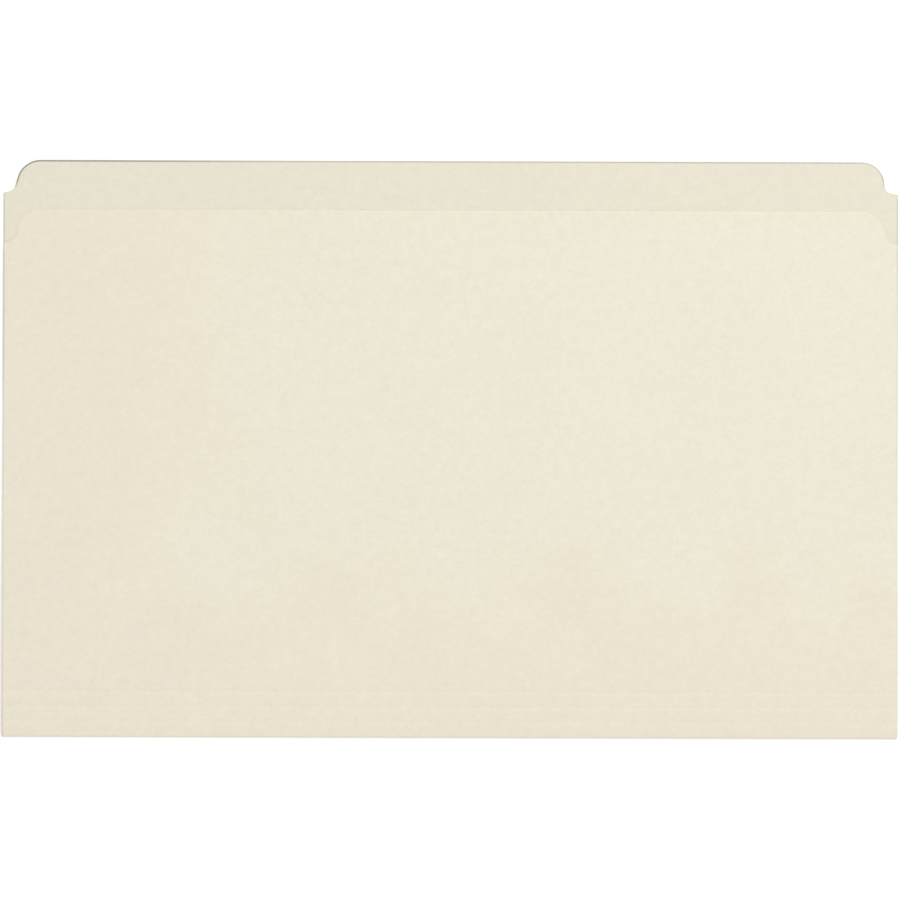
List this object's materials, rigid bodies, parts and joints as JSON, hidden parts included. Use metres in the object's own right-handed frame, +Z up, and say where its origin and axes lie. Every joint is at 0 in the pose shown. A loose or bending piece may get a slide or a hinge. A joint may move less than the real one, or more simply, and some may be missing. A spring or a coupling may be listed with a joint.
{
  "type": "file folder",
  "caption": "Legal-size file folder with a full-width tab, an undercut front flap and a scored base that expands.",
  "frame": {"origin": "centre of the folder's outline on the surface it lies on, under the back panel", "axes": "+X along the bottom fold, +Y from the fold to the tab, +Z up from the back panel to the front flap"},
  "size_m": [0.3746, 0.2414, 0.0016],
  "materials": {
    "manila_back": "uncoated pale cream manila stock, faintly fibrous, inner face a shade duller",
    "manila_base": "uncoated pale cream manila stock, pressed with fine score lines",
    "manila_front": "uncoated pale cream manila stock, smooth and faintly fibrous"
  },
  "bodies": {
    "fold": {"fold_spine": "manila_base"},
    "back": {"back_panel": "manila_back"},
    "base": {"base_strip_1": "manila_base", "base_strip_2": "manila_base", "base_strip_3": "manila_base"},
    "front": {"front_panel": "manila_front"}
  },
  "joints": [
    {"name": "fold_open", "type": "hinge", "parent": "fold", "child": "back", "pos_m": [0, -0.11987, 0.00078], "axis": [-1, 0, 0], "range_deg": [0, 180]},
    {"name": "base_turn", "type": "hinge", "parent": "fold", "child": "base", "pos_m": [0, -0.11987, 0.00078], "axis": [1, 0, 0], "range_deg": [0, 90]},
    {"name": "score_3_fold", "type": "hinge", "parent": "base", "child": "front", "pos_m": [0, -0.1016, 0.00116], "axis": [1, 0, 0], "range_deg": [-90, 0]}
  ],
  "couplings": [
    {"joint": "base_turn", "follows": "score_3_fold", "ratio": -1}
  ]
}
